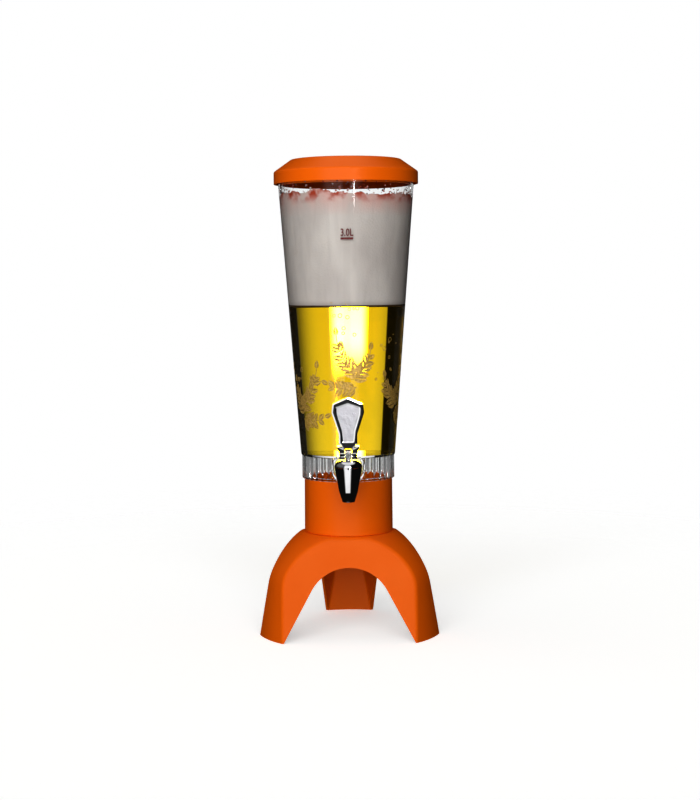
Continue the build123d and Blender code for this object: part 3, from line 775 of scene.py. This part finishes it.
# Layers over the first tint: colour, strength, and values with the two ends between which they grow
layers = [
    ("#c2bab5", 1.0, [(clouds, 0.35, 0.68)]),
    ("#aaa29d", 0.2, [(streaks, 0.5, 0.75)]),
    # painted reflection of the orange lid: a pink blush near the top of the foam
    ("#d99d93", 0.75, [(height, foam_top_z - 26 * MM, foam_top_z - 4 * MM), (clouds, 0.7, 0.38)]),
    # painted reflection of the orange lid: red patches just under the foam's top
    ("#b04a30", 1.0, [(height, foam_top_z - 12 * MM, foam_top_z - 1 * MM), (patches, 0.42, 0.58)]),
    ("#8f857e", 0.5, [(height, beer_top_z + 7 * MM, beer_top_z)]),
    ("#4b3a26", 1.0, [(height, beer_top_z + 1.6 * MM, beer_top_z + 0.9 * MM)]),
]
tint = linear("#d3ccc6")
for colour, strength, ranges in layers:
    share = strength
    for value, start, end in ranges:
        inputs = {"Value": value, "From Min": start, "From Max": end}
        part = add_node(tree, "ShaderNodeMapRange", inputs).outputs[0]
        share = add_node(tree, "ShaderNodeMath", {0: share, 1: part}, operation="MULTIPLY").outputs[0]
    inputs = {"Factor": share, "A": tint, "B": linear(colour)}
    tint = add_node(tree, "ShaderNodeMix", inputs, data_type="RGBA").outputs["Result"]
bump = add_node(
    tree,
    "ShaderNodeBump",
    {"Height": cells.outputs["Distance"], "Strength": 0.6, "Distance": 0.25 * MM},
)
shader = add_node(
    tree,
    "ShaderNodeBsdfPrincipled",
    {
        "Base Color": tint,
        "Roughness": 0.55,
        "Normal": bump.outputs["Normal"],
        "Subsurface Weight": 0.5,
        "Subsurface Radius": (1.0, 0.9, 0.8),
        "Subsurface Scale": 3 * MM,
        "IOR": 1.34,
    },
)
tree.links.new(shader.outputs[0], out.inputs["Surface"])
make_piece("foam", foam_mesh, "canister", foam_white)

# %% [markdown]
# ## Foam on the wall
# Where the head of foam has sunk, scraps of it stay on the wall up to the lid. A Geometry Nodes tree
# strews a small lump over a patch of points there, each turned and sized by chance from a fixed seed.
# Lumps placed by hand would do for ten, but not for the 260 that this needs.


# %% A tree that strews one shape
def socket_id(tree, name):
    """The identifier that a modifier uses for a tree's named input."""
    return next(i.identifier for i in tree.interface.items_tree if i.name == name and i.in_out == "INPUT")


def strewing_tree(name):
    """Instances of a shape on the given mesh's points, turned about their normals and sized by chance."""
    made = bpy.data.node_groups.new(name, "GeometryNodeTree")
    wanted = {
        "Geometry": "Geometry",
        "Shape": "Object",
        "Smallest": "Float",
        "Largest": "Float",
        "Seed": "Int",
        "Finish": "Material",
    }
    for label, kind in wanted.items():
        made.interface.new_socket(label, in_out="INPUT", socket_type="NodeSocket" + kind)
    made.interface.new_socket("Geometry", in_out="OUTPUT", socket_type="NodeSocketGeometry")
    given = add_node(made, "NodeGroupInput").outputs
    shape = add_node(made, "GeometryNodeObjectInfo", {"Object": given["Shape"]}).outputs["Geometry"]
    size = add_node(
        made,
        "FunctionNodeRandomValue",
        {2: given["Smallest"], 3: given["Largest"], "Seed": given["Seed"]},
        data_type="FLOAT",
    ).outputs[1]
    facing = add_node(
        made, "GeometryNodeInputNamedAttribute", {"Name": "facing"}, data_type="FLOAT_VECTOR"
    ).outputs[0]
    upright = add_node(made, "FunctionNodeAlignRotationToVector", {"Vector": facing}, axis="Z").outputs[0]
    spin = add_node(
        made, "FunctionNodeRandomValue", {2: 0.0, 3: 2 * pi, "Seed": given["Seed"]}, data_type="FLOAT"
    ).outputs[1]
    turn = add_node(made, "FunctionNodeAxisAngleToRotation", {"Axis": (0, 0, 1), "Angle": spin}).outputs[0]
    turned_lump = add_node(
        made, "FunctionNodeRotateRotation", {0: upright, 1: turn}, rotation_space="LOCAL"
    ).outputs[0]
    strewn = add_node(
        made,
        "GeometryNodeInstanceOnPoints",
        {"Points": given["Geometry"], "Instance": shape, "Rotation": turned_lump, "Scale": size},
    )
    real = add_node(made, "GeometryNodeRealizeInstances", {0: strewn.outputs[0]})
    inputs = {"Geometry": real.outputs[0], "Material": given["Finish"]}
    finished = add_node(made, "GeometryNodeSetMaterial", inputs)
    add_node(made, "NodeGroupOutput", {0: finished.outputs[0]})
    return made


strewing = strewing_tree("strew_shapes")


def strewn(name, points, shape, smallest, largest, seed, finish):
    """A plain mesh of one shape strewn over (place, facing) pairs."""
    seeds = bpy.data.meshes.new(name + "_points")
    seeds.from_pydata([p for p, _ in points], [], [])
    facing = seeds.attributes.new("facing", "FLOAT_VECTOR", "POINT")
    for i, (_, way) in enumerate(points):
        facing.data[i].vector = way
    holder = bpy.data.objects.new(name, seeds)
    sample = bpy.data.objects.new(name + "_sample", shape)
    scene.collection.objects.link(holder)
    scene.collection.objects.link(sample)
    change = holder.modifiers.new("strew", "NODES")
    change.node_group = strewing
    given = {"Shape": sample, "Smallest": smallest, "Largest": largest, "Seed": seed, "Finish": finish}
    for label, value in given.items():
        change[socket_id(strewing, label)] = value
    made = bpy.data.meshes.new_from_object(holder.evaluated_get(bpy.context.evaluated_depsgraph_get()))
    for each in (holder, sample):
        bpy.data.objects.remove(each)
    return made


# %% Scraps of foam
def lump(name, flatness):
    """A small squashed ball, dented by noise, 1 m across."""
    grown = bmesh.new()
    bmesh.ops.create_icosphere(grown, subdivisions=2, radius=0.5)
    for vert in grown.verts:
        vert.co *= 1 + 0.35 * noise.noise(vert.co * 3.1)
        vert.co.z *= flatness
    mesh = bpy.data.meshes.new(name)
    grown.to_mesh(mesh)
    grown.free()
    return mesh


chance = random.Random(5)
lid_plug_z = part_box("lid")[0].z
scrap_count = 260
scraps = []
for _ in range(scrap_count):
    angle = chance.uniform(-pi, pi)
    low = foam_edge(angle)
    z = low + (lid_plug_z + 6 * MM - low) * chance.random() ** 1.6
    radius = inner_radius(z) - 0.25 * MM
    scraps.append(((radius * cos(angle), radius * sin(angle), z), (-cos(angle), -sin(angle), 0)))
scrap_mesh = strewn("foam_scraps", scraps, lump("scrap", 0.45), 0.7 * MM, 2.6 * MM, 3, foam_white)
make_piece("foam_scraps", scrap_mesh, "canister", foam_white, 180)

# %% [markdown]
# ## Printing on a cone
# The mark and the decoration are screen-printed on the vessel's outside. Each is drawn flat, in
# millimetres along the wall and up, then wrapped round the cone, 0.1 mm off it so that it never shares
# its place with the wall, and given a thickness of 0.06 mm, as thick ink has.


# %% Wrapping a flat drawing
def wrapped(mesh, lift=0.1 * MM, thick=0.06 * MM):
    """Lay a flat mesh (x along the wall from the front, y its height) on the vessel as a thin solid."""
    grown = bmesh.new()
    grown.from_mesh(mesh)
    grown.normal_update()
    for face in grown.faces:
        if face.normal.z < 0:
            face.normal_flip()
    for vert in grown.verts:
        base = outer_radius(vert.co.y)
        turn = vert.co.x / base
        radius = base + lift + thick
        vert.co = (radius * sin(turn), -radius * cos(turn), vert.co.y)
    grown.normal_update()
    bmesh.ops.solidify(grown, geom=grown.faces[:], thickness=thick)
    bmesh.ops.recalc_face_normals(grown, faces=grown.faces)
    grown.to_mesh(mesh)
    grown.free()
    return mesh


def flat_shape(name, outlines):
    """A flat mesh from closed outlines of (x, y) points in mm."""
    grown = bmesh.new()
    for outline in outlines:
        grown.faces.new([grown.verts.new((x * MM, y * MM, 0)) for x, y in outline])
    mesh = bpy.data.meshes.new(name)
    grown.to_mesh(mesh)
    grown.free()
    return mesh


def ink(name, colour, worn_colour, metal_share, roughness, speck_mm):
    """Screen ink: speckled where the mesh of the screen left less of it."""
    made, tree, out = new_material(name)
    place = add_node(tree, "ShaderNodeTexCoord").outputs["Object"]
    speck = add_node(tree, "ShaderNodeTexNoise", {"Vector": place, "Scale": 1000 / speck_mm, "Detail": 3.0})
    share = add_node(
        tree, "ShaderNodeMapRange", {"Value": speck.outputs["Fac"], "From Min": 0.38, "From Max": 0.62}
    ).outputs[0]
    tint = add_node(
        tree,
        "ShaderNodeMix",
        {"Factor": share, "A": linear(colour), "B": linear(worn_colour)},
        data_type="RGBA",
    ).outputs["Result"]
    bump = add_node(
        tree, "ShaderNodeBump", {"Height": speck.outputs["Fac"], "Strength": 0.7, "Distance": 0.08 * MM}
    )
    shader = add_node(
        tree,
        "ShaderNodeBsdfPrincipled",
        {
            "Base Color": tint,
            "Metallic": metal_share,
            "Roughness": roughness,
            "Normal": bump.outputs["Normal"],
        },
    )
    tree.links.new(shader.outputs[0], out.inputs["Surface"])
    return made


# %% The litre mark
red_ink = ink("screen_ink_dark_red", "#7a1414", "#5a0f10", 0.0, 0.45, 0.8)
mark_z = 455.6  # middle of the bar, in mm
mark_width, mark_rise = 14.2, 2.9
bar_left, bar_step, bar_half = -6.5, 1.4, 1.2
words = bpy.data.curves.new("litres", "FONT")
words.body = "3.0L"
words.size = 11.6 * MM
words.align_x = "CENTER"
words.resolution_u = 3
words.offset = 0.16 * MM
holder = bpy.data.objects.new("litres", words)
scene.collection.objects.link(holder)
mark_mesh = bpy.data.meshes.new_from_object(holder.evaluated_get(bpy.context.evaluated_depsgraph_get()))
bpy.data.objects.remove(holder)
across = [v.co.x for v in mark_mesh.vertices]
narrower = Matrix.Diagonal((mark_width * MM / (max(across) - min(across)), 1, 1, 1))
mark_mesh.transform(Matrix.Translation((0.5 * MM, (mark_z + mark_rise) * MM, 0)) @ narrower)
low, high = mark_z - bar_half, mark_z + bar_half
edges = [bar_step * k + bar_left for k in range(11)]
bar = flat_shape("bar", [[(a, low), (b, low), (b, high), (a, high)] for a, b in zip(edges, edges[1:])])
grown = bmesh.new()
grown.from_mesh(bar)
bmesh.ops.remove_doubles(grown, verts=grown.verts, dist=0.01 * MM)
grown.from_mesh(mark_mesh)
grown.to_mesh(mark_mesh)
grown.free()
make_piece("litre_mark", wrapped(mark_mesh), "canister", red_ink)

# %% [markdown]
# ## Gold decoration
# The lower half of the vessel carries gold motifs with a grainy, slightly metallic ink. They are plain
# leafy sprigs and rising bubbles here. A sprig is a bent ribbon with pairs of leaves that a loop sets
# along it, each turned and sized a little by chance. A drawn curve for each leaf would be slower to
# change. All outlines lie flat first and are then wrapped round the cone.


# %% Outlines of leaves and bubbles
def leaf_outlines(length, width, bare_half=0.3):
    """Two halves of a pointed, toothed leaf with a bare line between them."""
    halves = []
    for side in (1, -1):
        edge = []
        for k in range(8):
            swell = width * sin(pi * (k / 7) ** 0.8) * (1 + 0.12 * (k % 2))
            edge.append((length * k / 7, side * (0.35 + swell)))
        halves.append(edge + [(length, side * bare_half), (0, side * bare_half)])
    return halves


def ring_outlines(radius, thick, steps=18):
    """A ring as quads."""
    turns = [2 * pi * k / steps for k in range(steps + 1)]
    return [
        [
            (radius * cos(a), radius * sin(a)),
            (radius * cos(b), radius * sin(b)),
            ((radius - thick) * cos(b), (radius - thick) * sin(b)),
            ((radius - thick) * cos(a), (radius - thick) * sin(a)),
        ]
        for a, b in zip(turns, turns[1:])
    ]


chance = random.Random(11)
outlines = []
bubbles = []


def add_leaf(x, y, turn, size):
    """A leaf of 13.5 mm times its size that points along turn."""
    c, s = cos(turn), sin(turn)
    for outline in leaf_outlines(13.5 * size, 3.4 * size):
        outlines.append([(x + px * c - py * s, y + px * s + py * c) for px, py in outline])


def add_sprig(x, y, heading, bend, length, pairs):
    """A bent stem with leaves in pairs that grow smaller to its tip."""
    path = [(x, y)]
    turn = heading
    for k in range(12):
        turn += bend / 12
        path.append((path[-1][0] + length / 12 * cos(turn), path[-1][1] + length / 12 * sin(turn)))
    for k, ((ax, ay), (bx, by)) in enumerate(zip(path, path[1:])):
        way = atan2(by - ay, bx - ax)
        half = 0.8 - 0.04 * k
        nx, ny = -sin(way) * half, cos(way) * half
        outlines.append([(ax + nx, ay + ny), (ax - nx, ay - ny), (bx - nx, by - ny), (bx + nx, by + ny)])
    for k in range(pairs):
        place = path[1 + round(k * 10 / pairs)]
        way = heading + bend * (1 + k * 10 / pairs) / 12
        size = 1.15 - 0.55 * k / pairs
        for side in (1, -1):
            leaf_turn = way + side * chance.uniform(0.6, 0.95)
            add_leaf(place[0], place[1], leaf_turn, size * chance.uniform(0.85, 1.1))
    add_leaf(path[-1][0], path[-1][1], turn, 0.7)


# %% Gold print
gold_ink = ink("screen_ink_gold", "#f0cc78", "#a8822f", 0.35, 0.5, 1.1)
line_thick = 0.7
# Three groups on the front half; x runs to the right from the tap
for x, y, tip in ((-58, 262, 1), (8, 300, -1), (66, 268, 1)):
    add_sprig(x - 6 * tip, y, pi / 2 - 1.0 * tip, 0.9 * tip, 56, 6)
    add_sprig(x + 4 * tip, y - 3, pi / 2 + 1.15 * tip, -1.0 * tip, 42, 5)
    add_sprig(x - 2 * tip, y - 12, pi / 2 - 1.9 * tip, 0.8 * tip, 34, 4)
    for _ in range(12):
        bubbles.append((x + chance.uniform(-40, 4), y + chance.uniform(28, 84), chance.uniform(0.6, 2.8)))
for x, y, radius in bubbles:
    for quad in ring_outlines(radius, min(line_thick, radius * 0.6)):
        outlines.append([(x + px, y + py) for px, py in quad])
print_mesh = flat_shape("gold_print", outlines)
make_piece("gold_print", wrapped(print_mesh), "canister", gold_ink)

# %% [markdown]
# ## Tone and noise
# The photograph has deep, full shadows. The Standard view with a gamma of 0.8 gives them without a
# change of hue, which a film-like view would bring. Light may bend through twenty surfaces, enough for
# ribs behind ribs, and very bright paths are hardly clipped, so that the lamp behind the beer can burn
# out to white.

# %% Colours and the render's noise
scene.view_settings.view_transform = "Standard"
scene.view_settings.gamma = 0.8
scene.cycles.use_denoising = True
scene.cycles.caustics_reflective = False
scene.cycles.caustics_refractive = False
scene.cycles.max_bounces = 20
scene.cycles.transmission_bounces = 20
scene.cycles.transparent_max_bounces = 24
scene.cycles.sample_clamp_indirect = 100
print("view", scene.view_settings.view_transform, "with gamma", round(scene.view_settings.gamma, 2))
